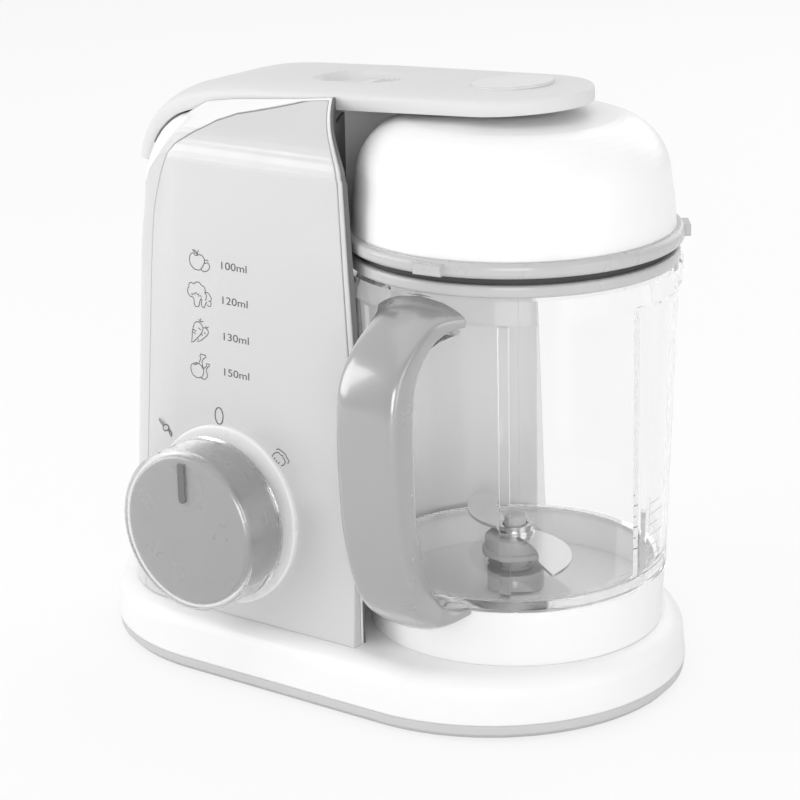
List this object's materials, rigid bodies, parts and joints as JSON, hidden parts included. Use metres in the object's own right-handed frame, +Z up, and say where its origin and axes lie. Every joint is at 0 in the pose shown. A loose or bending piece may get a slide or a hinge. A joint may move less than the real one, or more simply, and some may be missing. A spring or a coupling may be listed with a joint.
{
  "type": "baby food maker",
  "caption": "Countertop steamer and blender for baby food: clear bowl with side handle under a domed lid, control column with knob, and a steam arm hinged over the lid",
  "frame": {"origin": "middle of the footprint, handle and base together, on the table", "axes": "+X from the control column to the bowl, -Y the side with the knob and handle, +Z up"},
  "size_m": [0.262, 0.1846, 0.2493],
  "materials": {
    "white_shell": "satin white plastic",
    "rim_grey": "satin grey plastic",
    "cover_plastic": "light grey plastic",
    "rubber": "black rubber",
    "steel": "bright steel",
    "bronze": "plain bearing bronze",
    "black_plastic": "black plastic",
    "motor_steel": "grey painted steel",
    "panel_silver": "pearl silver satin",
    "trim_grey": "dark grey plastic",
    "knob_smoke": "smoky grey gloss plastic",
    "pointer": "black gloss plastic",
    "silicone": "translucent silicone",
    "clear_part": "natural plastic",
    "board_green": "circuit board",
    "arm_grey": "warm light grey satin plastic",
    "cap_grey": "light grey satin plastic",
    "dome_white": "milky satin plastic",
    "flange_grey": "dark grey satin plastic",
    "clear_bowl": "clear copolyester",
    "handle_clear": "clear copolyester",
    "grip_grey": "soft-touch grey",
    "hub_grey": "grey plastic",
    "blade_steel": "bright stainless steel"
  },
  "bodies": {
    "machine": {"base_shell": "white_shell", "base_rim": "rim_grey", "bottom_cover": "cover_plastic", "rubber_feet": "rubber", "bottom_screws": "steel", "bowl_seat": "white_shell", "seat_screws": "steel", "shaft_bush": "bronze", "drive_belt": "rubber", "motor": "motor_steel", "motor_bracket": "steel", "motor_mounts": "rubber", "column_shell": "white_shell", "front_panel": "panel_silver", "side_trim": "trim_grey", "column_screws": "steel", "knob_bezel": "white_shell", "rotary_switch": "black_plastic", "boiler_cup": "steel", "boiler_heater": "motor_steel", "boiler_bracket": "steel", "boiler_gasket": "silicone", "filler_neck": "clear_part", "filler_plug": "trim_grey", "thermostat": "black_plastic", "steam_pipe": "silicone", "control_board": "board_green", "board_posts": "clear_part", "cord_inlet": "black_plastic"},
    "motor_rotor": {"motor_shaft": "steel", "small_pulley": "black_plastic"},
    "blade_drive": {"blade_shaft": "steel", "large_pulley": "black_plastic", "drive_dog": "black_plastic", "blade_dog": "black_plastic", "blade_hub": "hub_grey", "lower_blade": "blade_steel", "upper_blade": "blade_steel", "blade_nut": "hub_grey"},
    "control_knob": {"knob": "knob_smoke", "knob_pointer": "pointer", "switch_shaft": "steel"},
    "steam_arm": {"arm_cover": "arm_grey", "arm_underside": "cap_grey", "arm_cap": "cap_grey", "steam_duct": "clear_part", "steam_nozzle": "silicone", "hinge_pin": "steel", "latch_spring": "steel"},
    "arm_latch": {"latch_slider": "arm_grey"},
    "blend_bowl": {"bowl": "clear_bowl", "bowl_ring": "rim_grey", "handle_core": "handle_clear", "handle_grip": "grip_grey", "blade_bush": "bronze"},
    "bowl_lid": {"dome_lid": "dome_white", "lid_flange": "flange_grey", "lid_seal": "rubber"}
  },
  "joints": [
    {"name": "knob_turn", "type": "hinge", "parent": "machine", "child": "control_knob", "pos_m": [-0.0345, -0.07822, 0.07], "axis": [0, -1, 0], "range_deg": [-45, 45]},
    {"name": "arm_swing", "type": "hinge", "parent": "machine", "child": "steam_arm", "pos_m": [-0.098, 0.01178, 0.20742], "axis": [0, -1, 0], "range_deg": [0, 90]},
    {"name": "latch_slide", "type": "slide", "parent": "steam_arm", "child": "arm_latch", "axis": [-0.9982, 0, -0.0593], "range_m": [0, 0.004], "stiffness_N_per_m": 150, "deforming": ["latch_spring"]},
    {"name": "bowl_turn", "type": "hinge", "parent": "machine", "child": "blend_bowl", "pos_m": [0.0625, 0.01178, 0.06], "axis": [0, 0, 1], "range_deg": [0, 20]},
    {"name": "lid_turn", "type": "hinge", "parent": "blend_bowl", "child": "bowl_lid", "pos_m": [0.0625, 0.01178, 0.19], "axis": [0, 0, 1], "range_deg": [0, 25]},
    {"name": "blade_spin", "type": "hinge", "parent": "machine", "child": "blade_drive", "pos_m": [0.0625, 0.01178, 0.03], "axis": [0, 0, 1], "continuous": true},
    {"name": "motor_spin", "type": "hinge", "parent": "machine", "child": "motor_rotor", "pos_m": [-0.043, 0.01178, 0.03], "axis": [0, 0, 1], "continuous": true}
  ],
  "couplings": [
    {"joint": "motor_spin", "follows": "blade_spin", "ratio": 3}
  ]
}
